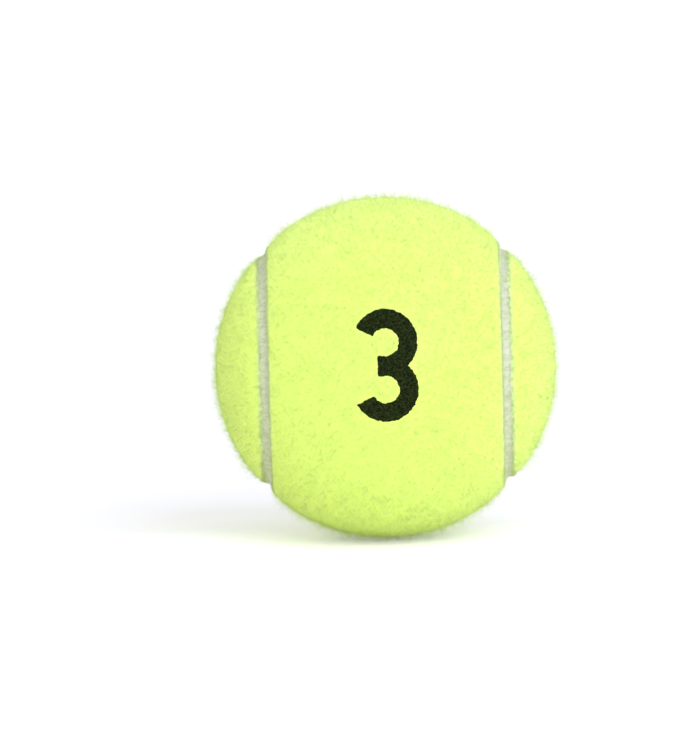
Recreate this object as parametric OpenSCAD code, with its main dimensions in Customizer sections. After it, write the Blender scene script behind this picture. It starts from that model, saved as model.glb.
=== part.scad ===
// A pressurised tennis ball. Two rubber half-shells are cemented into a hollow core, two dog-bone
// felt panels are cemented round it, and the panels' dipped edges meet in a sunken seam.
//
// The origin is the ball's centre and +Z is up. The waist of the front panel faces -Y.
//
// The seam is four half circles on a sphere. In front, at -Y, two of them run upright, where a
// direction from the centre leaves the plane X = 0 by the front panel's half angle. At the back
// the other two leave the Z axis by the same angle. So each panel is a waist, half a turn about
// one axis, and two round ends, each half a turn about another, all with one section.

/* [Ball] */
// Diameter over the raised nap of the felt
ball_d = 66.7; // [60:0.1:74]

/* [Rubber core] */
// Wall of each moulded half-shell
core_wall = 3.4; // [2.6:0.1:4.5]
// Thickness of the cement ring between the two half-shells
core_joint_t = 0.25; // [0.1:0.05:0.6]

/* [Felt panels] */
// Thickness of the felt, from the cement under it to the top of the nap
felt_t = 3.3; // [2.6:0.1:4.2]
// Thickness of the cement coat between the core and the felt
panel_cement_t = 0.2; // [0.1:0.05:0.5]

/* [Seam] */
// Half the front panel's width as laid on the ball, seen from its centre; the back panel has the rest of 90
front_half_angle = 46; // [44:0.5:46]
// Width of the cement line between the two panels' cut edges
seam_w = 2.4; // [1.4:0.1:3]
// Depth of the middle of that line below the top of the nap
seam_depth = 1.6; // [1.2:0.1:2.2]
// Radius of the hollow across the cement line, which climbs at both edges
seam_hollow_r = 1.8; // [1.8:0.1:8]

/* [Number] */
// Height of the printed number
number_h = 21.5; // [16:0.5:24]
// Width of its strokes
number_stroke = 3.8; // [2.4:0.1:4.4]
// How much thicker the stroke is where the two bowls join
number_join_extra = 0.2; // [0.1:0.1:1]
// Length of the short arm to the left of that join
number_arm = 1.6; // [0.4:0.1:3]
// Height of its middle above the middle of the front panel
number_rise = 3; // [-4:0.5:4]
// Depth that the ink sinks into the nap
ink_depth = 0.5; // [0.2:0.1:1]

/* [Preview] */
// Facets in a full circle
facets = 144; // [48:8:256]

/* [Hidden] */
$fn = facets;

// Radii of the layers, from the outside in
ball_r = ball_d / 2;
felt_inner_r = ball_r - felt_t;
core_r = felt_inner_r - panel_cement_t;
cavity_r = core_r - core_wall;

back_half_angle = 90 - front_half_angle;
seam_r = ball_r - seam_depth;
// Half the cement line's width, as an angle at the ball's centre
seam_half_angle = asin(seam_w / 2 / seam_r);
// Centre of the hollow across the cement line, and the radius at which it meets the cut edges
hollow_centre_r = seam_r + seam_hollow_r;
seam_rim_r = hollow_centre_r * cos(seam_half_angle)
    - sqrt(pow(seam_hollow_r, 2) - pow(hollow_centre_r * sin(seam_half_angle), 2));

// The felt's shoulder rounds over from the cement's rim, on the cut edge, to the top of the nap
shoulder_r = (pow(ball_r, 2) - pow(seam_rim_r, 2)) / (2 * ball_r);
shoulder_centre_r = ball_r - shoulder_r;
shoulder_angle = asin(shoulder_r / shoulder_centre_r);

// The number 3: two bowls, each a ring open to the left, and a short arm where they join
bowl_r = (number_h + number_stroke - number_join_extra) / 4;
bowl_inner_r = bowl_r - number_stroke;
bowl_rise = number_h / 2 - bowl_r;
arm_t = 2 * (bowl_rise - bowl_inner_r);
// The upper bowl is open between these directions from its centre, and the lower one mirrors it
bowl_end_angle = 155;
bowl_join_angle = 270;

// Reach of the cutting shapes, past the outside of the ball
reach = 2 * ball_d;

felt_colour = [0.87, 0.96, 0.47];
seam_colour = [0.84, 0.87, 0.74];
rubber_colour = [0.23, 0.22, 0.2];
cement_colour = [0.72, 0.66, 0.5];
ink_colour = [0.13, 0.15, 0.1];

// Flat sector of a ring, the same angle to each side of the X axis
module ring_sector(inner_r, outer_r, half_angle) {
    side = reach * tan(half_angle);
    intersection() {
        difference() {
            circle(r = outer_r);
            circle(r = inner_r);
        }
        polygon([[0, 0], [reach, -side], [reach, side]]);
    }
}

// The half plane to the right of the Y axis, as far as anything reaches
module right_half() {
    translate([0, -reach])
        square([reach, 2 * reach]);
}

// Sweeps a section, drawn round the X axis, along the front panel's waist and its two ends
module sweep_front() {
    rotate([0, 90, 180])
        rotate_extrude(angle = 180)
            children();
    for (side = [0, 1])
        mirror([0, 0, side])
            rotate_extrude(angle = 180)
                intersection() {
                    rotate(90)
                        children();
                    right_half();
                }
}

// Turns what belongs to the front panel into its twin on the back panel
module to_back() {
    rotate([0, 90, 0])
        rotate([0, 0, 180])
            children();
}

module half_shell() {
    rotate_extrude()
        intersection() {
            difference() {
                circle(r = core_r);
                circle(r = cavity_r);
            }
            translate([0, core_joint_t / 2])
                square([reach, reach]);
        }
}

// Felt with square edges up to the cement's rim, a crown between them and a round on each shoulder
module felt_section(half_angle) {
    edge_angle = half_angle - seam_half_angle;
    crown_angle = edge_angle - shoulder_angle;
    ring_sector(felt_inner_r, seam_rim_r, edge_angle);
    ring_sector(felt_inner_r, ball_r, crown_angle);
    for (side = [-1, 1])
        rotate(side * crown_angle)
            translate([shoulder_centre_r, 0])
                circle(r = shoulder_r);
}

// Cement from the cut edge to the seam's middle, hollow on top
module edge_section(half_angle) {
    difference() {
        ring_sector(felt_inner_r, ball_r, half_angle);
        ring_sector(cavity_r, reach, half_angle - seam_half_angle);
        for (side = [-1, 1])
            rotate(side * half_angle)
                translate([hollow_centre_r, 0])
                    circle(r = seam_hollow_r);
    }
}

// One bowl of the number, about its own centre, open between two directions
module bowl(from_angle, to_angle) {
    middle_angle = (from_angle + to_angle) / 2;
    difference() {
        circle(r = bowl_r);
        circle(r = bowl_inner_r);
        polygon([
            [0, 0],
            reach * [cos(from_angle), sin(from_angle)],
            reach * [cos(middle_angle), sin(middle_angle)],
            reach * [cos(to_angle), sin(to_angle)]
        ]);
    }
}

module number_outline() {
    translate([0, bowl_rise])
        bowl(bowl_end_angle, bowl_join_angle);
    translate([0, -bowl_rise])
        bowl(-bowl_join_angle, -bowl_end_angle);
    translate([-number_arm, -arm_t / 2])
        square([number_arm, arm_t]);
}

// Everything in front of the number that lies no deeper than the ink
module number_reach() {
    difference() {
        rotate([90, 0, 0])
            linear_extrude(height = reach)
                translate([0, number_rise])
                    number_outline();
        sphere(r = ball_r - ink_depth);
    }
}

module core_half_upper() {
    color(rubber_colour)
        half_shell();
}

module core_half_lower() {
    color(rubber_colour)
        mirror([0, 0, 1])
            half_shell();
}

module core_joint_cement() {
    color(cement_colour)
        rotate_extrude()
            intersection() {
                difference() {
                    circle(r = core_r);
                    circle(r = cavity_r);
                }
                translate([0, -core_joint_t / 2])
                    square([reach, core_joint_t]);
            }
}

module panel_cement_front() {
    color(cement_colour)
        sweep_front()
            ring_sector(core_r, felt_inner_r, front_half_angle);
}

module panel_cement_back() {
    color(cement_colour)
        to_back()
            sweep_front()
                ring_sector(core_r, felt_inner_r, back_half_angle);
}

module felt_panel_front() {
    color(felt_colour)
        difference() {
            sweep_front()
                felt_section(front_half_angle);
            number_reach();
        }
}

module felt_panel_back() {
    color(felt_colour)
        to_back()
            sweep_front()
                felt_section(back_half_angle);
}

module seam_edge_front() {
    color(seam_colour)
        sweep_front()
            edge_section(front_half_angle);
}

module seam_edge_back() {
    color(seam_colour)
        to_back()
            sweep_front()
                edge_section(back_half_angle);
}

module number_ink() {
    color(ink_colour)
        intersection() {
            sphere(r = ball_r);
            number_reach();
        }
}

core_half_upper();
core_half_lower();
core_joint_cement();
panel_cement_front();
panel_cement_back();
felt_panel_front();
felt_panel_back();
seam_edge_front();
seam_edge_back();
number_ink();
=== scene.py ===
import math

import bpy
import numpy as np
from bpy.props import FloatProperty, FloatVectorProperty, IntProperty, PointerProperty
from mathutils import Matrix, Vector, noise
from mathutils.bvhtree import BVHTree


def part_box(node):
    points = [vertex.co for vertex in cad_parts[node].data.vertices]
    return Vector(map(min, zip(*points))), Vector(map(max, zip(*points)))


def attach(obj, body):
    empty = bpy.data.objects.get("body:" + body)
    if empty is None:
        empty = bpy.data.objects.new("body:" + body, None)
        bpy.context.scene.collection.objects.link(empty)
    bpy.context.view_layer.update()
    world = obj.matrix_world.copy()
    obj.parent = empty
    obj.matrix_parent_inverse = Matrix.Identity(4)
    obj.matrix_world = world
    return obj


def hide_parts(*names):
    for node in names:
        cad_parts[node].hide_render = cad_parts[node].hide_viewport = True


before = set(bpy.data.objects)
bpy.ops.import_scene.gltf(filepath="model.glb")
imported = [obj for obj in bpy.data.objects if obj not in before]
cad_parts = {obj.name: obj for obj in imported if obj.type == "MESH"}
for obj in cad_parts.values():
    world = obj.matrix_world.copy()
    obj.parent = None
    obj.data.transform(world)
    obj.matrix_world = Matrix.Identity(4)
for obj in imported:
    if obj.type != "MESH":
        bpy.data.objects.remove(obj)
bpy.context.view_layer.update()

bl_info = {
    "name": "Tennis ball finish",
    "version": (1, 0, 0),
    "blender": (4, 5, 0),
    "location": "3D View > Sidebar > Tennis ball",
    "description": "Felt, nap, seam, printed number and core of a tennis ball, and its stage",
    "category": "Object",
}

MM = 0.001
BODY = "root"

# Fibres stay this far above the floor, and their roots lie this deep in the felt
FLOOR_GAP = 0.02 * MM
ROOT_DEPTH = 0.1 * MM
# Distance from a panel's cut edge over which its wander dies out
CUT_REACH = 0.6 * MM
# Boxes of a map: all of it, and the parts for a panel's outside and inside
WHOLE_MAP = ((0.005, 0.005), (0.995, 0.995))
OUTSIDE_MAP = ((0.005, 0.005), (0.895, 0.995))
INSIDE_MAP = ((0.905, 0.005), (0.995, 0.995))
# How wool scatters light: much the same way all round, with a faint sheen
WOOL = {
    "Roughness": 0.6,
    "Diffuse_Roughness": 1.0,
    "Specular_IOR_Level": 0.3,
    "Sheen_Weight": 0.5,
    "Sheen_Roughness": 0.5,
}

# The layers' radii and the number's outline, as the construction has them. The front panel is
# laid this wide to each side of its middle, and the back panel has the rest of the right angle.
FRONT_HALF_ANGLE = math.radians(46)
BACK_HALF_ANGLE = math.radians(90) - FRONT_HALF_ANGLE
BALL_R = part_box("felt_panel_front")[1].z
FELT_FOOT_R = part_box("panel_cement_front")[1].z
SEAM_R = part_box("seam_edge_front")[1].x / math.sin(FRONT_HALF_ANGLE)
NUMBER_LOW, NUMBER_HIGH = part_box("number_ink")
NUMBER_H = NUMBER_HIGH.z - NUMBER_LOW.z
NUMBER_RISE = (NUMBER_HIGH.z + NUMBER_LOW.z) / 2
BOWL_R = NUMBER_HIGH.x


# Sizes and colours that a user may change

class FeltSettings(bpy.types.PropertyGroup):
    nap_depth: FloatProperty(
        name="Nap depth", description="How far the matted felt lies below the tips of its nap",
        default=0.6 * MM, unit="LENGTH")
    lump_depth: FloatProperty(
        name="Lump depth", description="Depth of the hollows in the matted felt",
        default=0.22 * MM, unit="LENGTH")
    lump_size: FloatProperty(
        name="Lump size", description="Distance between the hollows",
        default=0.8 * MM, unit="LENGTH")
    edge_drop: FloatProperty(
        name="Edge drop", description="How far the felt sinks towards a panel's edge",
        default=0.5 * MM, unit="LENGTH")
    edge_reach: FloatProperty(
        name="Edge reach", description="Distance from the edge over which it sinks",
        default=1.6 * MM, unit="LENGTH")
    ragged: FloatProperty(
        name="Ragged edge", description="How far a panel's cut edge wanders to each side",
        default=0.22 * MM, unit="LENGTH")
    # The felt's band beside the seam is partly a cement stain and partly painted shade of the
    # groove
    stain_and_shade_band: FloatProperty(
        name="Dipped edge", description="Width of felt that took up cement beside the seam",
        default=0.5 * MM, unit="LENGTH")
    bright: FloatVectorProperty(
        name="Bright fibre", description="Colour of the brightest fibre ends, lit from behind",
        default=(0.82, 0.97, 0.37), subtype="COLOR")
    pale: FloatVectorProperty(
        name="Pale fibre", description="Colour of the felt's paler fibres",
        default=(0.76, 0.91, 0.19), subtype="COLOR")
    # Partly the felt's own deeper tone, partly painted shade: it fills the hollows of the felt's
    # bump, between its fibres
    deep_and_shaded: FloatVectorProperty(
        name="Deep felt", description="Colour of the felt between its fibres",
        default=(0.7, 0.84, 0.15), subtype="COLOR")
    # This colour is partly cement-stained felt and partly painted shade of the groove beside the
    # seam
    stain_and_shade: FloatVectorProperty(
        name="Stained felt", description="Colour of the felt that took up cement",
        default=(0.71, 0.83, 0.38), subtype="COLOR")


class NapSettings(bpy.types.PropertyGroup):
    count: IntProperty(
        name="Fibres", description="Matted fibres on the whole ball", default=32000, min=0)
    length: FloatProperty(
        name="Length", description="Mean length of a matted fibre",
        default=1.2 * MM, unit="LENGTH")
    thickness: FloatProperty(
        name="Thickness", description="Thickness of a matted fibre",
        default=0.026 * MM, unit="LENGTH")
    lift: FloatProperty(
        name="Lift", description="How far the fibres that lie flattest arch above the felt",
        default=0.08 * MM, unit="LENGTH")
    raised: FloatProperty(
        name="Raised lift", description="How far the highest matted fibres arch above the felt",
        default=0.4 * MM, unit="LENGTH")
    fuzz_count: IntProperty(
        name="Fuzz", description="Fine fibre ends that stand up all over the ball",
        default=120000, min=0)
    tuft: FloatProperty(
        name="Tuft size", description="Distance over which neighbouring fibres lean the same way",
        default=1.1 * MM, unit="LENGTH")
    edge_count: IntProperty(
        name="Edge fibres", description="Short fibres that stray over the seam from the cut edges",
        default=16000, min=0)
    edge_length: FloatProperty(
        name="Edge fibre length", description="Mean length of a fibre that strays over the seam",
        default=0.85 * MM, unit="LENGTH")
    fuzz_length: FloatProperty(
        name="Fuzz length",
        description="How far a standing fibre end reaches along the felt, besides its rise",
        default=0.35 * MM, unit="LENGTH")
    fuzz_thickness: FloatProperty(
        name="Fuzz thickness", description="Thickness of a standing fibre end",
        default=0.024 * MM, unit="LENGTH")
    fuzz_lift: FloatProperty(
        name="Fuzz lift", description="Mean height of the fibre ends above the felt",
        default=0.6 * MM, unit="LENGTH")
    strand: IntProperty(
        name="Strand", description="Standing fibre ends that cling together in one strand",
        default=2, min=1)
    strand_width: FloatProperty(
        name="Strand width", description="Thickness of such a strand",
        default=0.18 * MM, unit="LENGTH")
    wisp_count: IntProperty(
        name="Wisps", description="Loose fibres that stand off the ball", default=2500, min=0)
    wisp_length: FloatProperty(
        name="Wisp length", description="Mean length of a loose fibre",
        default=3.2 * MM, unit="LENGTH")
    wisp_thickness: FloatProperty(
        name="Wisp thickness", description="Thickness of a loose fibre",
        default=0.024 * MM, unit="LENGTH")
    wisp_lift: FloatProperty(
        name="Wisp lift", description="How far a loose fibre stands off the ball",
        default=0.75 * MM, unit="LENGTH")
    seed: IntProperty(name="Seed", description="Seed of the fibres' places", default=7)


class SeamSettings(bpy.types.PropertyGroup):
    width: FloatProperty(
        name="Width", description="Width of the cement line between the cut edges",
        default=2.4 * MM, unit="LENGTH")
    hollow_r: FloatProperty(
        name="Hollow radius", description="Radius of the hollow across the line",
        default=2.2 * MM, unit="LENGTH")
    tuck: FloatProperty(
        name="Tuck", description="How far the cement reaches into the cut edges",
        default=0.25 * MM, unit="LENGTH")
    grain: FloatProperty(
        name="Grain", description="Height of the grain in the cured cement",
        default=0.06 * MM, unit="LENGTH")
    slant: FloatProperty(
        name="Slant", description="Direction of the streaks in the cured cement",
        default=math.radians(35), subtype="ANGLE")
    pale: FloatVectorProperty(
        name="Pale cement", description="Colour of the cement where it is clean",
        default=(0.645, 0.67, 0.435), subtype="COLOR")
    dull: FloatVectorProperty(
        name="Dull cement", description="Colour of the cement where it is dull",
        default=(0.47, 0.51, 0.28), subtype="COLOR")


class NumberSettings(bpy.types.PropertyGroup):
    stroke: FloatProperty(
        name="Stroke", description="Width of the number's strokes",
        default=3.8 * MM, unit="LENGTH")
    arm: FloatProperty(
        name="Arm", description="Length of the arm between the two bowls",
        default=1.6 * MM, unit="LENGTH")
    rise: FloatProperty(
        name="Rise", description="How far the inked fibres stand above the felt",
        default=0.1 * MM, unit="LENGTH")
    depth: FloatProperty(
        name="Depth", description="How far the ink reaches into the felt",
        default=0.4 * MM, unit="LENGTH")
    ragged: FloatProperty(
        name="Ragged edge", description="How far the ink's edge wanders",
        default=0.18 * MM, unit="LENGTH")
    fibres: IntProperty(name="Fibres", description="Inked fibres", default=1500, min=0)
    ink: FloatVectorProperty(
        name="Ink", description="Colour of the inked fibres",
        default=(0.003, 0.006, 0.0005), subtype="COLOR")
    worn: FloatVectorProperty(
        name="Thin ink", description="Colour where the ink is thin",
        default=(0.032, 0.045, 0.009), subtype="COLOR")


class CoreSettings(bpy.types.PropertyGroup):
    rubber: FloatVectorProperty(
        name="Rubber", description="Colour of the half-shells",
        default=(0.045, 0.042, 0.038), subtype="COLOR")
    cement: FloatVectorProperty(
        name="Cement", description="Colour of the cement under the felt",
        default=(0.48, 0.4, 0.22), subtype="COLOR")


class StageSettings(bpy.types.PropertyGroup):
    distance: FloatProperty(
        name="Camera distance", description="Distance from the camera to the ball",
        default=1.8, unit="LENGTH")
    elevation: FloatProperty(
        name="Camera elevation", description="Height angle of the camera",
        default=math.radians(5), subtype="ANGLE")
    roll: FloatProperty(
        name="Camera roll", description="How far the camera leans to the left",
        default=math.radians(-1.5), subtype="ANGLE")
    front: FloatProperty(
        name="Front", description="Strength of the low lamp in front", default=1.66)
    front_azimuth: FloatProperty(
        name="Front azimuth",
        description="How far to the right of the camera the front lamp stands",
        default=math.radians(9), subtype="ANGLE")
    front_elevation: FloatProperty(
        name="Front elevation", description="Height angle of the front lamp",
        default=math.radians(3), subtype="ANGLE")
    front_size: FloatProperty(
        name="Front size", description="How wide the front lamp looks from the ball",
        default=math.radians(40), subtype="ANGLE")
    side: FloatProperty(
        name="Side", description="Strength of the high lamp on the right", default=1.0)
    side_azimuth: FloatProperty(
        name="Side azimuth",
        description="How far to the right of the camera the side lamp stands",
        default=math.radians(30), subtype="ANGLE")
    side_elevation: FloatProperty(
        name="Side elevation", description="Height angle of the side lamp",
        default=math.radians(29), subtype="ANGLE")
    side_size: FloatProperty(
        name="Side size", description="How wide the side lamp looks from the ball",
        default=math.radians(42), subtype="ANGLE")
    side_tint: FloatVectorProperty(
        name="Side tint", description="Colour of the lamp on the right",
        default=(0.94, 1.0, 1.8), subtype="COLOR", soft_max=2)
    sky: FloatProperty(
        name="Sky", description="Strength of the even light from all round", default=0.77)
    sky_tint: FloatVectorProperty(
        name="Sky tint", description="Colour of the even light from all round",
        default=(0.98, 0.99, 1.17), subtype="COLOR", soft_max=1.5)
    floor: FloatVectorProperty(
        name="Floor", description="Colour of the floor",
        default=(0.99, 0.975, 0.85), subtype="COLOR")
    glow_before: FloatProperty(
        name="Glow before",
        description="White that the camera sees added to the floor before the ball",
        default=0.38)
    glow_behind: FloatProperty(
        name="Glow behind",
        description="White that the camera sees added to the floor behind the ball",
        default=0.14)


# Shader building

class Shade:
    """A shader socket that Python sums can use. Each sum adds a Math node beside it."""

    def __init__(self, nodes, socket):
        self.nodes = nodes
        self.socket = socket

    def _math(self, operation, first, second):
        return self.nodes.node("ShaderNodeMath", {"operation": operation}, {0: first, 1: second})

    def __add__(self, other):
        return self._math("ADD", self, other)

    def __radd__(self, other):
        return self._math("ADD", other, self)

    def __sub__(self, other):
        return self._math("SUBTRACT", self, other)

    def __rsub__(self, other):
        return self._math("SUBTRACT", other, self)

    def __mul__(self, other):
        return self._math("MULTIPLY", self, other)

    def __rmul__(self, other):
        return self._math("MULTIPLY", other, self)

    def __gt__(self, other):
        return self._math("GREATER_THAN", self, other)

    def __lt__(self, other):
        return self._math("LESS_THAN", self, other)

    def __abs__(self):
        return self.nodes.node("ShaderNodeMath", {"operation": "ABSOLUTE"}, {0: self})


class Nodes:
    """The node tree of a material or a world."""

    def __init__(self, owner):
        owner.use_nodes = True
        self.tree = owner.node_tree
        self.tree.nodes.clear()

    def node(self, kind, settings=None, inputs=None, output=0):
        """Adds a node, sets it up, fills its sockets and returns one of its outputs."""
        made = self.tree.nodes.new(kind)
        for name, value in (settings or {}).items():
            setattr(made, name, value)
        for name, value in (inputs or {}).items():
            if isinstance(value, Shade):
                self.tree.links.new(value.socket, made.inputs[name])
            else:
                made.inputs[name].default_value = value
        return Shade(self, made.outputs[output]) if made.outputs else None

    def ramp(self, value, low, high):
        """A value stretched so that low gives 0 and high gives 1, clamped."""
        return self.node(
            "ShaderNodeMapRange", {"clamp": True},
            {"Value": value, "From Min": low, "From Max": high})

    def mix(self, share, first, second):
        """A colour between two others."""
        # Sockets 6 and 7 and output 2 are the ones that a Mix node has for colours
        return self.node(
            "ShaderNodeMix", {"data_type": "RGBA"},
            {0: share, 6: colour(first), 7: colour(second)}, output=2)

    def seen(self):
        """1 for what the camera sees, straight or in a mirror or through glass, and 0 for light."""
        rays = [self.node("ShaderNodeLightPath", output=f"Is {ray} Ray")
                for ray in ("Camera", "Glossy", "Transmission")]
        return self.node(
            "ShaderNodeClamp", {}, {"Value": rays[0] + rays[1] + rays[2]})


class Finish(Nodes):
    """A material with the textures that its surface uses."""

    # The felt's stain beside the seam, partly cement and partly painted shade of the groove: how
    # far its edge wanders, how far outside that edge it starts and how far inside it is full, in
    # millimetres, and the share of its colour it reaches
    stain_and_shade_wander = 0.7
    stain_and_shade_starts = 0.55
    stain_and_shade_full = 0.45
    stain_and_shade_share = 0.9

    def __init__(self, name):
        self.material = bpy.data.materials.new(name)
        super().__init__(self.material)
        self.place = self.node("ShaderNodeTexCoord", output="Object")

    def grain(self, size, detail=2.0, roughness=0.5, distortion=0.0, place=None):
        """Noise of a given size in metres, from 0 to about 1."""
        return self.node(
            "ShaderNodeTexNoise", {"noise_type": "FBM", "normalize": True},
            {"Vector": place or self.place, "Scale": 1 / size, "Detail": detail,
             "Roughness": roughness, "Distortion": distortion})

    def from_seam(self):
        """Distance from the seam's middle, in metres, along the ball's surface."""
        outward = self.node("ShaderNodeVectorMath", {"operation": "NORMALIZE"}, {0: self.place})
        x, y, z = (
            self.node("ShaderNodeSeparateXYZ", {}, {"Vector": outward}, output=axis)
            for axis in range(3))
        behind = y > 0.0
        before = 1 - behind
        side = abs(x * before + z * behind)
        line = before * math.sin(FRONT_HALF_ANGLE) + behind * math.sin(BACK_HALF_ANGLE)
        # The seam lies near 45 degrees, where the surface is this much longer than its sine
        per_sine = BALL_R / math.cos(math.radians(45))
        return abs(side - line) * per_sine

    def stain_and_shade_band(self, colours, felt, seam):
        """Felt colours that turn dull beside the seam, along an uneven line: cement stain and
        painted shade.
        """
        edge = (seam.width / 2 + felt.stain_and_shade_band) / MM
        uneven = (self.grain(0.9 * MM, detail=3) - 0.5) * self.stain_and_shade_wander
        inside = self.ramp(
            self.from_seam() * (1 / MM) + uneven, edge + self.stain_and_shade_starts, edge - self.stain_and_shade_full)
        return self.mix(inside * self.stain_and_shade_share, colours, felt.stain_and_shade)

    def bump(self, height, distance):
        """A normal from a height, where distance is the height in metres that 1 stands for."""
        return self.node(
            "ShaderNodeBump", {}, {"Height": height, "Distance": distance, "Strength": 1.0})

    def surface(self, **inputs):
        """The material's shader. An underscore in a name stands for a space."""
        named = {name.replace("_", " "): value for name, value in inputs.items()}
        shader = self.node("ShaderNodeBsdfPrincipled", {}, named)
        self.node("ShaderNodeOutputMaterial", {}, {"Surface": shader})
        return self.material


def colour(value):
    """A colour with its alpha, or a link as it is."""
    if isinstance(value, Shade):
        return value
    return (*value[:3], 1.0)


def felt_finish(felt, seam):
    """Matted wool: pale fibres over a deeper colour that is partly painted shade in the bump's
    hollows.
    """
    made = Finish("felt")
    strands = made.grain(0.3 * MM, detail=3, roughness=0.6, distortion=1.0)
    patches = made.grain(3 * MM, detail=2)
    # Pale on the crests of the bump, which the same noise raises, and deep in its hollows, partly
    # as painted shade
    pale = made.ramp(strands * 0.8 + patches * 0.2, 0.3, 0.7)
    # Beside the seam the colours turn to a cement stain with painted shade of the groove
    return made.surface(
        Base_Color=made.stain_and_shade_band(made.mix(pale, felt.deep_and_shaded, felt.pale), felt, seam),
        Sheen_Tint=colour(felt.pale),
        Normal=made.bump(strands, 0.015 * MM),
        **WOOL)


def nap_finish(felt, seam):
    """Single fibres, brighter than the felt below, each a little paler or deeper than the next."""
    made = Finish("nap")
    each = made.grain(0.8 * MM, detail=2, roughness=0.7, distortion=1.5)
    bright = made.ramp(each, 0.32, 0.58)
    # Beside the seam the colours turn to a cement stain with painted shade of the groove
    return made.surface(
        Base_Color=made.stain_and_shade_band(made.mix(bright, felt.pale, felt.bright), felt, seam),
        Sheen_Tint=colour(felt.pale),
        **WOOL)


def ink_finish(number):
    """Ink that has dried on and between the fibres."""
    made = Finish("printed_nap")
    strands = made.grain(0.4 * MM, detail=3, roughness=0.6, distortion=1.2)
    thin = made.ramp(strands, 0.42, 0.68)
    return made.surface(
        Base_Color=made.mix(thin, number.ink, number.worn),
        Roughness=0.8,
        Specular_IOR_Level=0.05,
        Normal=made.bump(strands, 0.1 * MM))


def seam_finish(seam):
    """Cured rubber cement: chalky, a little streaked."""
    made = Finish("seam_cement")
    slanted = made.node(
        "ShaderNodeMapping", {},
        {"Vector": made.place, "Rotation": (0.0, seam.slant, 0.0), "Scale": (1.0, 1.0, 3.5)})
    streaks = made.grain(2 * MM, detail=4, roughness=0.7, distortion=0.6, place=slanted)
    specks = made.grain(0.3 * MM, detail=2)
    clean = made.ramp(streaks * 0.75 + specks * 0.25, 0.4, 0.56)
    return made.surface(
        Base_Color=made.mix(clean, seam.dull, seam.pale),
        Roughness=0.75,
        Specular_IOR_Level=0.35,
        Normal=made.bump(specks, 0.04 * MM))


def rubber_finish(core):
    """Moulded rubber with fine speckles of filler."""
    made = Finish("core_rubber")
    filler = made.ramp(made.grain(0.35 * MM, detail=3), 0.45, 0.7)
    bloom = made.grain(5 * MM, detail=2)
    paler = tuple(0.6 * part + 0.06 for part in core.rubber)
    return made.surface(
        Base_Color=made.mix(filler * bloom, core.rubber, paler),
        Roughness=made.ramp(bloom, 0.1, 0.95) * 0.25 + 0.5,
        Normal=made.bump(filler, 0.02 * MM))


def cement_finish(core):
    """Brushed rubber cement, dried in thicker and thinner streaks."""
    made = Finish("rubber_cement")
    brushed = made.grain(1.2 * MM, detail=3, distortion=0.8)
    thin = tuple(0.7 * part for part in core.cement)
    return made.surface(
        Base_Color=made.mix(made.ramp(brushed, 0.35, 0.65), thin, core.cement),
        Roughness=0.55,
        Normal=made.bump(brushed, 0.03 * MM))


# Shape of the ball's surface

def unit(vectors):
    """Vectors along the last axis, made one long."""
    return vectors / np.linalg.norm(vectors, axis=-1, keepdims=True)


def rough(points, size, seed=0.0):
    """Smooth noise of a given size at each point, about -1 to 1."""
    flat = points.reshape(-1, 3) / size + seed
    return np.array([noise.noise(Vector(p)) for p in flat]).reshape(points.shape[:-1])


def seam_offset(directions):
    """Angle from the seam to each direction, above zero on the front panel."""
    x, y, z = np.moveaxis(np.clip(directions, -1, 1), -1, 0)
    on_front_half = FRONT_HALF_ANGLE - np.arcsin(np.abs(x))
    on_back_half = np.arcsin(np.abs(z)) - BACK_HALF_ANGLE
    return np.where(y < 0, on_front_half, on_back_half)


def hollow(offsets, seam):
    """Radius of the cement's surface at angles from the seam's middle."""
    centre = SEAM_R + seam.hollow_r
    return centre * np.cos(offsets) - np.sqrt(seam.hollow_r ** 2 - (centre * np.sin(offsets)) ** 2)


class Section:
    """Half the outer outline of a felt panel's section, as rings from its middle to its foot."""

    # Rings over the crown and round the shoulder, and how far the shoulder turns down
    crown_rings = 58
    shoulder_rings = 7
    shoulder_turn = math.radians(90)

    def __init__(self, felt, seam, half_angle):
        half_width = math.asin(seam.width / 2 / SEAM_R)
        self.edge = half_angle - half_width
        self.half_angle = half_angle
        rim_r = float(hollow(half_width, seam))
        top_r = BALL_R - felt.nap_depth
        shoulder_r = (top_r ** 2 - rim_r ** 2) / (2 * top_r)
        centre_r = top_r - shoulder_r
        tangent = math.asin(shoulder_r / centre_r)
        crown = np.linspace(0, self.edge - tangent, self.crown_rings, endpoint=False)
        turn = np.linspace(0, self.shoulder_turn + tangent, self.shoulder_rings)
        side = shoulder_r * np.sin(turn)
        up = centre_r + shoulder_r * np.cos(turn)
        shoulder = self.edge - tangent + np.arctan2(side, up)
        self.angles = np.concatenate([crown, shoulder, [self.edge]])
        self.radii = np.concatenate([np.full(len(crown), top_r), np.hypot(side, up), [FELT_FOOT_R]])
        # The felt thins out towards the edge, but not at the rim itself
        to_edge = (self.edge - self.angles) * BALL_R
        height = np.clip((self.radii - rim_r) / (top_r - rim_r), 0, 1)
        self.radii -= felt.edge_drop * np.exp(-to_edge / felt.edge_reach) * height
        self.lumpy = height
        self.last = len(self.angles) - 1

    def radius(self, directions, felt, seam):
        """Radius of the matted felt, or of the cement between the panels, in each direction."""
        offset = np.abs(seam_offset(directions))
        angles = self.half_angle - offset
        shelf = np.interp(angles, self.angles[:-1], self.radii[:-1])
        shelf -= lumps(directions, felt) * np.interp(angles, self.angles[:-1], self.lumpy[:-1])
        return np.where(angles < self.edge, shelf, hollow(offset, seam))


def lumps(directions, felt):
    """Depth of the hollows in the matted felt."""
    points = directions * BALL_R
    wide = rough(points, felt.lump_size, seed=3.1)
    fine = rough(points, felt.lump_size * 0.45, seed=8.7)
    return felt.lump_depth * np.clip(0.5 + 0.6 * wide + 0.35 * fine, 0, 1)


def to_back(points):
    """Turns what belongs to the front panel into its twin on the back panel."""
    x, y, z = np.moveaxis(points, -1, 0)
    return np.stack([z, -y, x], axis=-1)


# Meshes

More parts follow.
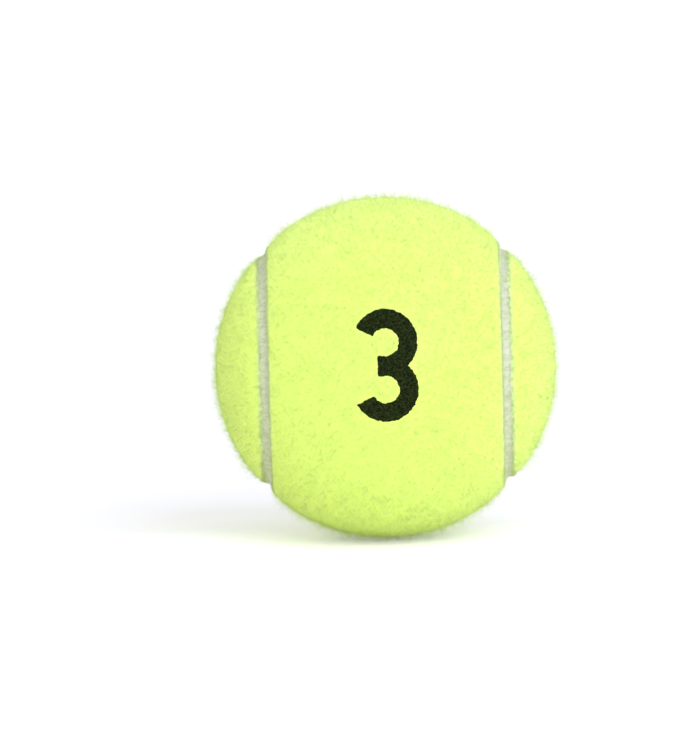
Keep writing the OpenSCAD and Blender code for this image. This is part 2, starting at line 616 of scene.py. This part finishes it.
def make_object(name, points, faces, uvs, material, smooth=True):
    """A mesh object from points, and lists of face arrays and of their corners' map places."""
    mesh = bpy.data.meshes.new(name)
    mesh.vertices.add(len(points))
    mesh.vertices.foreach_set("co", np.asarray(points, np.float32).ravel())
    sides = np.concatenate([np.full(len(f), f.shape[1]) for f in faces])
    corners = np.concatenate([f.ravel() for f in faces])
    mesh.loops.add(len(corners))
    mesh.loops.foreach_set("vertex_index", corners.astype(np.int32))
    mesh.polygons.add(len(sides))
    starts = np.concatenate([[0], np.cumsum(sides)[:-1]])
    mesh.polygons.foreach_set("loop_start", starts.astype(np.int32))
    mesh.polygons.foreach_set("loop_total", sides.astype(np.int32))
    mesh.update(calc_edges=True)
    mesh.polygons.foreach_set("use_smooth", np.full(len(sides), smooth))
    layer = mesh.uv_layers.new(name="OFBake")
    places = np.concatenate([u.reshape(-1, 2) for u in uvs])
    layer.uv.foreach_set("vector", places.astype(np.float32).ravel())
    mesh.validate()
    mesh.materials.append(material)
    piece = bpy.data.objects.new(name, mesh)
    bpy.context.scene.collection.objects.link(piece)
    return piece


def seat(piece, slot, *nodes):
    """Fixes a piece to the ball, in place of these nodes, which it hides. The slot is not used."""
    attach(piece, BODY)
    if nodes:
        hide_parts(*nodes)


def lattice_faces(index, wrap_rows=False, wrap_columns=False):
    """Quads between the neighbours in a table of point numbers."""
    if wrap_rows:
        index = np.concatenate([index, index[:1]])
    if wrap_columns:
        index = np.concatenate([index, index[:, :1]], axis=1)
    return np.stack(
        [index[:-1, :-1], index[:-1, 1:], index[1:, 1:], index[1:, :-1]], axis=-1).reshape(-1, 4)


def lattice_places(rows, columns, low, high):
    """Map places of the quads in a table, filling the box from low to high."""
    down, across = np.meshgrid(
        np.linspace(low[1], high[1], rows), np.linspace(low[0], high[0], columns), indexing="ij")
    index = np.arange(rows * columns).reshape(rows, columns)
    return np.stack([across.ravel(), down.ravel()], axis=-1)[lattice_faces(index)]


class PanelLattice:
    """A table of places on the front panel, with rows along its bottom end, waist and top end.

    Each place lies on a ring of the section, in the plane of two directions: the spine, from the
    ball's centre to the middle of the section, and the side, square to it.
    """

    def __init__(self, section, row_length):
        n = section.last
        waist_rows = round(math.pi * BALL_R / row_length)
        row, column = np.meshgrid(
            np.arange(2 * n + waist_rows + 1), np.arange(-n, n + 1), indexing="ij")
        bottom = n - row
        top = row - n - waist_rows
        into_end = np.maximum(np.maximum(bottom, top), 0)
        self.ring = np.maximum(np.abs(column), into_end)
        turn = math.pi * (np.clip(row - n, 0, waist_rows) / waist_rows - 0.5)
        in_end = into_end > 0
        # Squares about an end's middle become half circles about it
        reach = np.maximum(self.ring, 1)
        steep = into_end > np.abs(column)
        azimuth = np.where(
            steep,
            math.pi / 2 - math.pi / 4 * column / reach,
            math.pi / 4 * into_end / reach)
        azimuth = np.where(~steep & (column < 0), math.pi - azimuth, azimuth)
        zero = np.zeros_like(turn)
        self.spine = np.stack(
            [zero, np.where(in_end, 0, -np.cos(turn)), np.sin(turn)], axis=-1)
        self.side = np.stack(
            [np.where(in_end, np.cos(azimuth), np.sign(column + 0.5)),
             np.where(in_end, np.sin(azimuth), 0), zero], axis=-1)

    def directions(self, angles, wander=0.0):
        """Each place's direction, with its ring at one of these angles, moved on by a wander."""
        angle = (angles[self.ring] + wander)[..., None]
        return np.cos(angle) * self.spine + np.sin(angle) * self.side


def panel_mesh(name, place, section, felt, material):
    """A felt panel as a closed shell: its napped outside, its cut edges and its cemented inside."""
    lattice = PanelLattice(section, row_length=0.45 * MM)
    # The edge was cut from the cloth a little unevenly
    laid = place(lattice.directions(section.angles)) * BALL_R
    uneven = rough(laid, 0.9 * MM, seed=21.0) + rough(laid, 4 * MM, seed=23.0)
    uneven = np.clip(1.2 * uneven, -1, 1)
    near = np.exp((section.angles - section.edge) * BALL_R / CUT_REACH)[lattice.ring]
    outward = place(lattice.directions(section.angles, felt.ragged / BALL_R * uneven * near))
    radius = section.radii[lattice.ring]
    radius = radius - lumps(outward, felt) * section.lumpy[lattice.ring]
    inner_angles = section.edge * np.arange(section.last + 1) / section.last
    inward = place(lattice.directions(inner_angles)) * FELT_FOOT_R
    rows, columns = lattice.ring.shape
    outer = np.arange(rows * columns).reshape(rows, columns)
    inside = lattice.ring < section.last
    inner = outer.copy()
    inner[inside] = rows * columns + np.arange(inside.sum())
    points = np.concatenate([(outward * radius[..., None]).reshape(-1, 3), inward[inside]])
    return make_object(
        name, points,
        [lattice_faces(outer), lattice_faces(inner)[:, ::-1]],
        [lattice_places(rows, columns, *OUTSIDE_MAP),
         lattice_places(rows, columns, *INSIDE_MAP)[:, ::-1]],
        material)


def seam_loop(step):
    """Spines and sides once round the seam, along the front panel's edge."""
    along = round(math.pi * SEAM_R * math.sin(FRONT_HALF_ANGLE) / step)
    turn = np.linspace(0, math.pi, along, endpoint=False)
    zero, one = np.zeros(along), np.ones(along)
    waist = np.stack([zero, -np.sin(turn), -np.cos(turn)], axis=-1)
    end = np.stack([np.cos(turn), np.sin(turn), zero], axis=-1)
    right = np.stack([one, zero, zero], axis=-1)
    up = np.stack([zero, zero, one], axis=-1)
    spines = np.concatenate([waist, up, waist * (1, 1, -1), -up])
    sides = np.concatenate([right, end, -right, end * (-1, 1, 1)])
    return spines, sides


# Fibres

def number_distance(x, z, number):
    """Distance outside the number's outline, below zero inside it."""
    height = z - NUMBER_RISE
    bowl_rise = NUMBER_H / 2 - BOWL_R
    middle_r = BOWL_R - number.stroke / 2
    end_angle = math.radians(155)
    best = np.full(np.shape(x), np.inf)
    for side in (1, -1):
        up = side * height - bowl_rise
        ring = np.abs(np.hypot(x, up) - middle_r) - number.stroke / 2
        past_end = -x * math.sin(end_angle) + up * math.cos(end_angle)
        opening = np.maximum(x, -past_end)
        best = np.minimum(best, np.maximum(ring, -opening))
    # The arm reaches past the cut of the bowls, into both of them
    arm_half_t = bowl_rise - (BOWL_R - number.stroke)
    arm_half_l = (number.arm + number.stroke / 4) / 2
    along = x + number.arm - arm_half_l
    arm = np.maximum(np.abs(along) - arm_half_l, np.abs(height) - arm_half_t)
    return np.minimum(best, arm)


def outline_distance(points, number):
    """Distance outside the number, for points near the ball's surface."""
    there = number_distance(points[..., 0], points[..., 2], number)
    return np.where(points[..., 1] < 0, there, BALL_R)


def clear_of_number(paths, number, gap):
    """The fibres that keep this far off the number. Below zero, they may reach into it."""
    return paths[outline_distance(paths, number).min(axis=1) > gap]


def scatter(generator, count):
    """Directions spread evenly over the whole ball."""
    up = generator.uniform(-1, 1, count)
    turn = generator.uniform(0, 2 * math.pi, count)
    level = np.sqrt(1 - up ** 2)
    return np.stack([level * np.cos(turn), level * np.sin(turn), up], axis=-1)


def above_floor(points):
    """Lifts the points that would dip into the floor."""
    points[..., 2] = np.maximum(points[..., 2], FLOOR_GAP - BALL_R)
    return points


def grow(generator, roots, steps, length, lift, curl, tuft, ground, standing=False):
    """Curly fibres that leave the felt at their roots, much the same way within a tuft.

    They arch over the felt, or, where standing, climb nearly all the way to their tips.
    Returns their points.
    """
    # Spread of the headings within a tuft, and how steeply a fibre can drop
    stray, steepest = 0.7, 0.6
    count = len(roots)
    helper = np.where(np.abs(roots[:, 2:]) < 0.8, (0.0, 0.0, 1.0), (1.0, 0.0, 0.0))
    east = unit(np.cross(helper, roots))
    north = np.cross(roots, east)
    share = np.linspace(0, 1, steps + 1)
    lean = 4 * math.pi * rough(roots * BALL_R, tuft, seed=12.0)
    heading = (lean + generator.normal(0, stray, count))[:, None]
    bend = generator.normal(0, curl, count)[:, None]
    wave = generator.uniform(0.5, 1.3, count)[:, None] * curl
    phase = generator.uniform(0, 2 * math.pi, count)[:, None]
    turns = generator.uniform(0.7, 1.5, count)[:, None]
    course = heading + bend * share + wave * np.sin(2 * math.pi * turns * share + phase)
    stride = (length / steps)[:, None]
    east_by = np.cumsum(stride * np.cos(course), axis=1) - stride * np.cos(course)
    north_by = np.cumsum(stride * np.sin(course), axis=1) - stride * np.sin(course)
    flat = east_by[..., None] * east[:, None] + north_by[..., None] * north[:, None]
    directions = unit(roots[:, None] + flat / BALL_R)
    reach = generator.uniform(0.5, 0.95, count)[:, None] if standing else 1.15
    arch = np.sin(math.pi * np.minimum(share * reach, 1)) * lift[:, None]
    highest = 0.3 if standing else 0.9
    tip = generator.uniform(-0.3, highest, count)[:, None] * lift[:, None] * share ** 2
    under = ground(directions)
    radius = under.copy()
    for step in range(1, steps + 1):
        # A fibre bridges a dip instead of dropping into it
        droop = radius[:, step - 1] - steepest * stride[:, 0]
        radius[:, step] = np.maximum(under[:, step], droop)
    radius += arch + tip
    radius[:, 0] -= ROOT_DEPTH
    return above_floor(directions * radius[..., None])


def triangles(steps):
    """Number of triangles in a fibre of so many steps."""
    return 6 * (steps - 1) + 4


def fibre_object(name, paths, thickness, material):
    """One mesh of three-sided tubes that taper to a point, one along each path."""
    count, steps = len(paths), paths.shape[1] - 1
    along = unit(np.gradient(paths, axis=1))
    across = unit(np.cross(along, unit(paths)))
    rise = np.cross(across, along)
    taper = 1 - 0.5 * np.linspace(0, 1, steps, endpoint=False) ** 2
    turn = 2 * math.pi / 3 * np.arange(3) + math.pi / 2
    ring = (
        np.cos(turn)[:, None] * across[:, :-1, None]
        + np.sin(turn)[:, None] * rise[:, :-1, None])
    ring = ring * (thickness[:, None] / 2 * taper)[..., None, None]
    rings = (paths[:, :-1, None] + ring).reshape(count, 3 * steps, 3)
    points = np.concatenate([rings, paths[:, -1:]], axis=1)
    low, high = np.meshgrid(3 * np.arange(steps - 1), np.arange(3), indexing="ij")
    first = (low + high).ravel()
    second = (low + (high + 1) % 3).ravel()
    quads = np.stack([first, first + 3, second + 3, second], axis=-1)
    last = 3 * (steps - 1)
    side = np.arange(3)
    tips = np.stack([last + side, np.full(3, 3 * steps), last + (side + 1) % 3], axis=-1)
    tris = np.concatenate([tips, [[0, 1, 2]]])
    # Each fibre has a small square of the map, as long as it is and three sides round
    around = high.ravel() / 3
    onward = low.ravel() / 3 / steps
    step_by = 1 / steps
    next_around, next_onward = around + 1 / 3, onward + step_by
    quad_places = np.stack([
        np.stack([around, onward], -1), np.stack([around, next_onward], -1),
        np.stack([next_around, next_onward], -1), np.stack([next_around, onward], -1)], axis=1)
    before_tip = np.full(3, 1 - step_by)
    tip_places = np.stack([
        np.stack([side / 3, before_tip], -1), np.stack([side / 3 + 1 / 6, np.ones(3)], -1),
        np.stack([side / 3 + 1 / 3, before_tip], -1)], axis=1)
    root_places = np.array([[[0, 0], [1 / 3, 0], [2 / 3, 0.02]]])
    cells = math.ceil(math.sqrt(count))
    number = np.arange(count)
    corner = np.stack([number % cells, number // cells], axis=-1)
    every = np.arange(count)[:, None, None] * (3 * steps + 1)

    def spread(places):
        # Neighbours' squares lie apart by a fifth of their side
        inside = 0.1 + 0.8 * places
        return ((corner[:, None, None] + inside[None]) / cells).reshape(-1, *places.shape[1:])

    return make_object(
        name, points.reshape(-1, 3),
        [(every + quads).reshape(-1, 4), (every + tris).reshape(-1, 3)],
        [spread(quad_places), spread(np.concatenate([tip_places, root_places]))],
        material)


# Operators

class BALL_OT_core(bpy.types.Operator):
    """Finish the rubber half-shells and the cement inside the ball"""

    bl_idname = "tennis_ball.core"
    bl_label = "Core"

    def execute(self, context):
        core = context.scene.ball_core
        rubber, cement = rubber_finish(core), cement_finish(core)
        finishes = {
            "core_half_upper": rubber,
            "core_half_lower": rubber,
            "core_joint_cement": cement,
            "panel_cement_front": cement,
            "panel_cement_back": cement,
        }
        for node, finish in finishes.items():
            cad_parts[node].material_slots[0].material = finish
        return {"FINISHED"}


class BALL_OT_felt(bpy.types.Operator):
    """Make the two interlocking felt panels"""

    bl_idname = "tennis_ball.felt"
    bl_label = "Felt panels"

    def execute(self, context):
        felt, seam = context.scene.ball_felt, context.scene.ball_seam
        finish = felt_finish(felt, seam)
        section = Section(felt, seam, FRONT_HALF_ANGLE)
        front = panel_mesh("front_felt", lambda points: points, section, felt, finish)
        seat(front, "felt", "felt_panel_front")
        section = Section(felt, seam, BACK_HALF_ANGLE)
        back = panel_mesh("back_felt", to_back, section, felt, finish)
        seat(back, "felt", "felt_panel_back")
        return {"FINISHED"}


class BALL_OT_seam(bpy.types.Operator):
    """Make the line of cured cement between the panels"""

    bl_idname = "tennis_ball.seam"
    bl_label = "Seam"

    # Points across the line, from rim to rim
    columns = 15

    def execute(self, context):
        seam = context.scene.ball_seam
        spines, sides = seam_loop(step=0.22 * MM)
        rim = math.asin(seam.width / 2 / SEAM_R)
        tucked = math.asin((seam.width / 2 + seam.tuck) / SEAM_R)
        offsets = np.linspace(-rim, rim, self.columns)
        top = hollow(offsets, seam)
        # Outside its rims the cement goes down inside the felt
        below = top[0] - seam.tuck
        angles = FRONT_HALF_ANGLE + np.concatenate([[-tucked], offsets, [tucked, tucked, -tucked]])
        radii = np.concatenate([[below], top, [below, FELT_FOOT_R, FELT_FOOT_R]])
        around = angles[None, :, None]
        directions = np.cos(around) * spines[:, None] + np.sin(around) * sides[:, None]
        places = directions * BALL_R
        grain = rough(places, 0.5 * MM, seed=5.0) + rough(places, 2.2 * MM, seed=1.0)
        grain[:, self.columns + 2:] = 0
        points = directions * (radii + seam.grain * grain)[..., None]
        rows, columns = points.shape[:2]
        index = np.arange(rows * columns).reshape(rows, columns)
        line = make_object(
            "seam_line", points.reshape(-1, 3),
            [lattice_faces(index, wrap_rows=True, wrap_columns=True)],
            [lattice_places(rows + 1, columns + 1, *WHOLE_MAP)],
            seam_finish(seam))
        seat(line, "seam_cement", "seam_edge_front", "seam_edge_back")
        return {"FINISHED"}


class BALL_OT_number(bpy.types.Operator):
    """Print the number on the front panel"""

    bl_idname = "tennis_ball.number"
    bl_label = "Number"

    # Side of the small squares that the ink is made of, and room round the number for them
    cell = 0.12 * MM
    margin = 1.0 * MM
    # Distance over which a slope of the ink's outline is measured
    probe = 0.03 * MM
    # At its edge the ink dips this far into the felt, and it is full this far inside
    sunk = 0.04 * MM
    full_at = 0.4 * MM

    def ragged_distance(self, x, z, number):
        """Distance outside the ink's wandering edge."""
        flat = np.stack([x, z, np.zeros_like(x)], axis=-1)
        wander = rough(flat, 0.7 * MM, seed=2.0) + 0.6 * rough(flat, 0.3 * MM, seed=6.0)
        return number_distance(x, z, number) + number.ragged * wander

    def squares(self, number):
        """Small squares that fill the number, with the places of their corners."""
        columns = np.arange(-BOWL_R - self.margin, BOWL_R + self.margin, self.cell)
        rows = np.arange(NUMBER_LOW.z - self.margin, NUMBER_HIGH.z + self.margin, self.cell)
        x, z = np.meshgrid(columns, rows)
        middle_x, middle_z = (side[:-1, :-1] + self.cell / 2 for side in (x, z))
        inked = self.ragged_distance(middle_x, middle_z, number) < 0
        index = np.arange(x.size).reshape(x.shape)
        used, quads = np.unique(lattice_faces(index)[inked.ravel()], return_inverse=True)
        return x.ravel()[used], z.ravel()[used], quads.reshape(-1, 4)

    def open_edges(self, quads):
        """The squares' sides that have no neighbour, each from its start to its end."""
        edges = np.concatenate([quads[:, [k, (k + 1) % 4]] for k in range(4)]).tolist()
        known = {tuple(edge) for edge in edges}
        return np.array([edge for edge in edges if (edge[1], edge[0]) not in known])

    def move_to_outline(self, x, z, rim, number):
        """Moves the corners on the rim of the squares onto the ink's wandering edge."""
        for _ in range(2):
            there = self.ragged_distance(x[rim], z[rim], number)
            slope_x, slope_z = (
                (self.ragged_distance(x[rim] + aside, z[rim] + up, number) - there) / self.probe
                for aside, up in ((self.probe, 0), (0, self.probe)))
            steep = np.maximum(slope_x ** 2 + slope_z ** 2, 0.25)
            move = np.clip(there / steep, -self.cell, self.cell)
            x[rim] -= move * slope_x
            z[rim] -= move * slope_z

    def on_felt(self, context, x, z):
        """Where the felt lies behind these places."""
        panel = bpy.data.objects["front_felt"]
        tree = BVHTree.FromObject(panel, context.evaluated_depsgraph_get())
        backward = Vector((0, 1, 0))
        found = [tree.ray_cast(Vector((a, -2 * BALL_R, b)), backward)[0] for a, b in zip(x, z)]
        return np.array([tuple(place) for place in found])

    def execute(self, context):
        number = context.scene.ball_number
        x, z, quads = self.squares(number)
        open_edges = self.open_edges(quads)
        self.move_to_outline(x, z, np.unique(open_edges), number)
        skin = self.on_felt(context, x, z)
        inside = np.clip(-self.ragged_distance(x, z, number) / self.full_at, 0, 1)
        matted = rough(skin, 0.45 * MM, seed=4.0)
        raised = inside * (1.3 - 0.3 * inside) + 0.35 * matted * inside
        lift = number.rise * raised - self.sunk * (1 - inside)
        outward = unit(skin)
        top = skin + outward * lift[:, None]
        base = skin - outward * number.depth
        count = len(top)
        start, end = open_edges.T
        walls = np.stack([end, start, start + count, end + count], axis=-1)
        # On the map the top lies at the lower left, the base at the lower right and the walls above
        span = max(np.ptp(x), np.ptp(z))
        flat = np.stack([(x - x.min()) / span, (z - z.min()) / span], axis=-1)
        flat = 0.005 + 0.48 * flat
        beside = np.concatenate([flat, flat + (0.5, 0)])
        ink = make_object(
            "number_ink_nap", np.concatenate([top, base]),
            [quads, quads[:, ::-1] + count, walls],
            [beside[quads], beside[quads[:, ::-1] + count], beside[walls] + (0, 0.5)],
            ink_finish(number))
        seat(ink, "printed_felt", "number_ink")
        return {"FINISHED"}


class BALL_OT_nap(bpy.types.Operator):
    """Grow the matted nap, the inked fibres of the number and the loose wisps"""

    bl_idname = "tennis_ball.nap"
    bl_label = "Nap"

    # Straight steps in a matted or inked fibre, in a standing or edge fibre and in a loose one
    steps = 4
    fuzz_steps = 3
    wisp_steps = 7
    # Roots lie at least this far from the seam's middle, and fibres near it are shorter, down to
    # a least share of their length
    edge_room = 1.22 * MM
    edge_reach = 2 * MM
    edge_share = 0.6
    # Edge fibres root from this far before that line to this far past it
    edge_before = 0.15 * MM
    edge_past = 0.25 * MM
    # Directions drawn for each fibre of the edges and of the number, which fill little of the ball
    edge_draws = 80
    inked_draws = 40
    # How far matted and standing fibres may reach into the number, and loose ones keep off it
    matted_over = 0.12 * MM
    standing_over = 0.05 * MM
    loose_off = 0.2 * MM
    # Inked fibres root this far inside the number, and reach at most this far out of it
    inked_inside = 0.25 * MM
    inked_past = 0.12 * MM
    # The most triangles that a piece has, so that it exports whole
    most_triangles = 190000

    def near_edge(self, directions):
        """Share of its length that a fibre keeps, less where it grows close to the seam."""
        offset = np.abs(seam_offset(directions)) * BALL_R
        return np.clip((offset - self.edge_room) / self.edge_reach, self.edge_share, 1)

    def rooted(self, generator, count):
        """Roots on the felt, clear of the seam."""
        roots = scatter(generator, count)
        return roots[np.abs(seam_offset(roots)) * BALL_R > self.edge_room]

    def bunched(self, generator, count, size):
        """Roots on the felt that stand closer in some spots than in others."""
        roots = self.rooted(generator, 2 * count)
        chance = 0.5 + 1.6 * rough(roots * BALL_R, size, seed=15.0)
        return roots[generator.uniform(0, 1, len(roots)) < chance]

    def stranded(self, generator, paths, count, width):
        """Fibres of different lengths that cling together along each path."""
        paths = np.repeat(paths, count, axis=0)
        keep = generator.uniform(0.6, 1.1, (len(paths), 1, 1))
        aside = generator.normal(0, width / 4, (len(paths), 1, 3))
        along = np.linspace(0.7, 1.3, paths.shape[1])[:, None]
        return above_floor(paths[:, :1] + keep * (paths - paths[:, :1]) + aside * along)

    def spread_out(self, name, generator, paths, thickness, finish):
        """Makes fibres on each panel, in pieces of a size that exports whole."""
        on_front = seam_offset(unit(paths[:, 0])) > 0
        most = self.most_triangles // triangles(paths.shape[1] - 1)
        for panel, chosen in (("front", paths[on_front]), ("back", paths[~on_front])):
            parts = math.ceil(len(chosen) / most)
            for part, share in enumerate(np.array_split(chosen, parts)):
                thick = thickness * generator.uniform(0.6, 1.2, len(share))
                seat(fibre_object(f"{panel}_{name}_{part + 1}", share, thick, finish), "felt")

    def matted(self, generator, nap, number, ground):
        """Fibres that lie in the felt's surface, all over the ball."""
        roots = self.rooted(generator, nap.count)
        spread = generator.lognormal(0, 0.3, len(roots))
        length = nap.length * spread * self.near_edge(roots)
        raised = generator.uniform(0, 1, len(roots)) ** 3
        lift = nap.lift + (nap.raised - nap.lift) * raised
        paths = grow(
            generator, roots, self.steps, length, lift, curl=1.5, tuft=nap.tuft, ground=ground)
        return clear_of_number(paths, number, -self.matted_over)

    def standing(self, generator, nap, number, ground):
        """Fibre ends that stand up from the felt, in small strands."""
        roots = self.bunched(generator, nap.fuzz_count // nap.strand, 0.5 * nap.tuft)
        height = nap.fuzz_lift * np.minimum(generator.exponential(1, len(roots)), 5)
        length = nap.fuzz_length * generator.lognormal(0, 0.4, len(roots)) + 1.2 * height
        height, length = height * self.near_edge(roots), length * self.near_edge(roots)
        paths = grow(
            generator, roots, self.fuzz_steps, length, height, curl=2.0, tuft=nap.tuft,
            ground=ground, standing=True)
        paths = self.stranded(generator, paths, nap.strand, nap.strand_width)
        return clear_of_number(paths, number, -self.standing_over)

    def straying(self, generator, nap, ground):
        """Short fibres that stray over the seam from the panels' cut edges."""
        roots = scatter(generator, self.edge_draws * nap.edge_count)
        past = np.abs(seam_offset(roots)) * BALL_R - self.edge_room
        roots = roots[(past > -self.edge_before) & (past < self.edge_past)][:nap.edge_count]
        length = nap.edge_length * generator.lognormal(0, 0.5, len(roots))
        lift = nap.lift * generator.uniform(0.2, 4, len(roots))
        return grow(
            generator, roots, self.fuzz_steps, length, lift, curl=1.5, tuft=nap.tuft, ground=ground)

    def inked(self, generator, nap, number, ground):
        """Inked fibres that lie on the number."""
        roots = scatter(generator, number.fibres * self.inked_draws)
        inside = outline_distance(roots * BALL_R, number) < -self.inked_inside
        roots = roots[inside][:number.fibres]
        length = nap.length * 0.55 * generator.lognormal(0, 0.3, len(roots))
        lift = number.rise + nap.lift * generator.uniform(0.1, 0.8, len(roots))
        paths = grow(
            generator, roots, self.steps, length, lift, curl=1.5, tuft=nap.tuft, ground=ground)
        return paths[outline_distance(paths, number).max(axis=1) < self.inked_past]

    def loose(self, generator, nap, number, ground):
        """Long fibres that stand off the ball."""
        roots = self.rooted(generator, nap.wisp_count)
        spread = generator.lognormal(0, 0.35, len(roots))
        length = nap.wisp_length * spread * self.near_edge(roots)
        lift = nap.wisp_lift * generator.uniform(0.2, 1.7, len(roots)) ** 1.5
        paths = grow(
            generator, roots, self.wisp_steps, length, lift, curl=1.9, tuft=nap.tuft, ground=ground)
        return clear_of_number(paths, number, self.loose_off)

    def execute(self, context):
        scene = context.scene
        felt, seam = scene.ball_felt, scene.ball_seam
        nap, number = scene.ball_nap, scene.ball_number
        section = Section(felt, seam, FRONT_HALF_ANGLE)
        finish = nap_finish(felt, seam)
        generator = np.random.default_rng(nap.seed)

        def ground(directions):
            return section.radius(directions, felt, seam)

        paths = self.matted(generator, nap, number, ground)
        self.spread_out("nap", generator, paths, nap.thickness, finish)
        paths = self.standing(generator, nap, number, ground)
        self.spread_out("fuzz", generator, paths, nap.fuzz_thickness, finish)
        paths = self.straying(generator, nap, ground)
        self.spread_out("edge", generator, paths, 1.3 * nap.thickness, finish)

        paths = self.inked(generator, nap, number, ground)
        thick = nap.thickness * generator.uniform(0.7, 1.2, len(paths))
        ink = bpy.data.objects["number_ink_nap"].data.materials[0]
        seat(fibre_object("number_fibres", paths, thick, ink), "printed_felt")

        paths = self.loose(generator, nap, number, ground)
        thick = nap.wisp_thickness * generator.uniform(0.7, 1.3, len(paths))
        seat(fibre_object("loose_wisps", paths, thick, finish), "felt")
        return {"FINISHED"}


class BALL_OT_stage(bpy.types.Operator):
    """Set the floor, the lamps, the background and the camera"""

    bl_idname = "tennis_ball.stage"
    bl_label = "Stage"

    # The picture's size, the ball's width in it and the ball's middle, in pixels
    picture_w = 681
    picture_h = 750
    ball_px_across = 346
    ball_px_x = 385.5
    ball_px_y = 367
    floor_side = 12.0
    # The glow of the floor changes over this stretch, in ball radii behind the ball's middle
    glow_from = -0.2
    glow_to = 0.8
    sensor = 36.0
    white = (1.0, 1.0, 1.0)

    def floor_material(self, stage):
        """A pale floor that takes the ball's shadow, with a glow that only the camera sees."""
        made = Finish("floor")
        drift = made.ramp(made.grain(0.4, detail=1), 0.2, 0.8)
        shade = made.mix(drift, tuple(0.99 * part for part in stage.floor), stage.floor)
        pale = made.node("ShaderNodeBsdfDiffuse", {}, {"Color": shade})
        depth = made.node("ShaderNodeSeparateXYZ", {}, {"Vector": made.place}, output=1)
        level = made.mix(
            made.ramp(depth, self.glow_from * BALL_R, self.glow_to * BALL_R),
            (stage.glow_before,) * 3, (stage.glow_behind,) * 3)
        glow = made.node("ShaderNodeEmission", {}, {"Color": level, "Strength": 1.0})
        bright = made.node("ShaderNodeAddShader", {}, {0: pale, 1: glow})
        mixed = made.node("ShaderNodeMixShader", {}, {0: made.seen(), 1: pale, 2: bright})
        made.node("ShaderNodeOutputMaterial", {}, {"Surface": mixed})
        return made.material

    def background(self, stage):
        """White where it is seen, and even light of the sky's strength and tint on the ball."""
        world = bpy.data.worlds.new("studio")
        made = Nodes(world)
        seen = made.seen()
        strength = seen * (1 - stage.sky) + stage.sky
        tint = made.mix(seen, stage.sky_tint, self.white)
        light = made.node("ShaderNodeBackground", {}, {"Color": tint, "Strength": strength})
        made.node("ShaderNodeOutputWorld", {}, {"Surface": light})
        return world

    def add_floor(self, stage):
        """A wide level floor under the ball."""
        half = self.floor_side / 2
        corners = np.array([[-half, -half], [half, -half], [half, half], [-half, half]])
        points = np.column_stack([corners, np.full(4, -BALL_R)])
        places = (corners / self.floor_side + 0.5)[None]
        floor = make_object("floor", points, [np.array([[0, 1, 2, 3]])], [places],
                            self.floor_material(stage), smooth=False)

    def add_lamp(self, scene, stage, name, tint):
        """A far lamp, with the strength, size and direction that the stage has for its name."""
        lamp = bpy.data.lights.new(name, "SUN")
        lamp.energy = getattr(stage, name)
        lamp.angle = getattr(stage, f"{name}_size")
        lamp.color = tint
        piece = bpy.data.objects.new(name, lamp)
        piece.rotation_euler = (
            math.radians(90) - getattr(stage, f"{name}_elevation"), 0,
            getattr(stage, f"{name}_azimuth"))
        scene.collection.objects.link(piece)

    def add_camera(self, scene, stage):
        """A camera that looks past the ball, so that the ball lies where it does in the picture."""
        per_px = 2 * BALL_R / self.ball_px_across
        data = bpy.data.cameras.new("camera")
        data.sensor_width = self.sensor
        data.lens = self.sensor * stage.distance / (per_px * self.picture_h)
        data.clip_start = 0.05
        data.clip_end = 40.0
        camera = bpy.data.objects.new("camera", data)
        right_by = (self.picture_w / 2 - self.ball_px_x) * per_px / stage.distance
        up_by = (self.ball_px_y - self.picture_h / 2) * per_px / stage.distance
        aim = (
            Matrix.Rotation(math.radians(90) - stage.elevation, 4, "X")
            @ Matrix.Rotation(stage.roll, 4, "Z")
            @ Matrix.Rotation(-right_by, 4, "Y")
            @ Matrix.Rotation(up_by, 4, "X")
        )
        place = Vector((0, -math.cos(stage.elevation), math.sin(stage.elevation))) * stage.distance
        camera.matrix_world = Matrix.Translation(place) @ aim
        scene.collection.objects.link(camera)
        scene.camera = camera

    def execute(self, context):
        scene, stage = context.scene, context.scene.ball_stage
        self.add_floor(stage)
        self.add_lamp(scene, stage, "front", self.white)
        self.add_lamp(scene, stage, "side", stage.side_tint)
        scene.world = self.background(stage)
        self.add_camera(scene, stage)
        scene.view_settings.view_transform = "Standard"
        return {"FINISHED"}


class BALL_PT_sidebar(bpy.types.Panel):
    """Sizes, colours and steps of the tennis ball"""

    bl_label = "Tennis ball"
    bl_idname = "BALL_PT_sidebar"
    bl_space_type = "VIEW_3D"
    bl_region_type = "UI"
    bl_category = "Tennis ball"

    def draw(self, context):
        for operator, group in STEPS:
            box = self.layout.box()
            box.operator(operator.bl_idname)
            settings = getattr(context.scene, group)
            for name in settings.__annotations__:
                box.prop(settings, name)


SETTINGS = {
    "ball_felt": FeltSettings,
    "ball_nap": NapSettings,
    "ball_seam": SeamSettings,
    "ball_number": NumberSettings,
    "ball_core": CoreSettings,
    "ball_stage": StageSettings,
}
STEPS = (
    (BALL_OT_stage, "ball_stage"),
    (BALL_OT_core, "ball_core"),
    (BALL_OT_felt, "ball_felt"),
    (BALL_OT_seam, "ball_seam"),
    (BALL_OT_number, "ball_number"),
    (BALL_OT_nap, "ball_nap"),
)
CLASSES = (*SETTINGS.values(), *(operator for operator, _ in STEPS), BALL_PT_sidebar)


def register():
    for kind in CLASSES:
        bpy.utils.register_class(kind)
    for name, settings in SETTINGS.items():
        setattr(bpy.types.Scene, name, PointerProperty(type=settings))


def unregister():
    for name in SETTINGS:
        delattr(bpy.types.Scene, name)
    for kind in reversed(CLASSES):
        bpy.utils.unregister_class(kind)


def main():
    register()
    bpy.ops.tennis_ball.stage()
    bpy.ops.tennis_ball.core()
    bpy.ops.tennis_ball.felt()
    bpy.ops.tennis_ball.seam()
    bpy.ops.tennis_ball.number()
    bpy.ops.tennis_ball.nap()


if __name__ == "__main__":
    main()
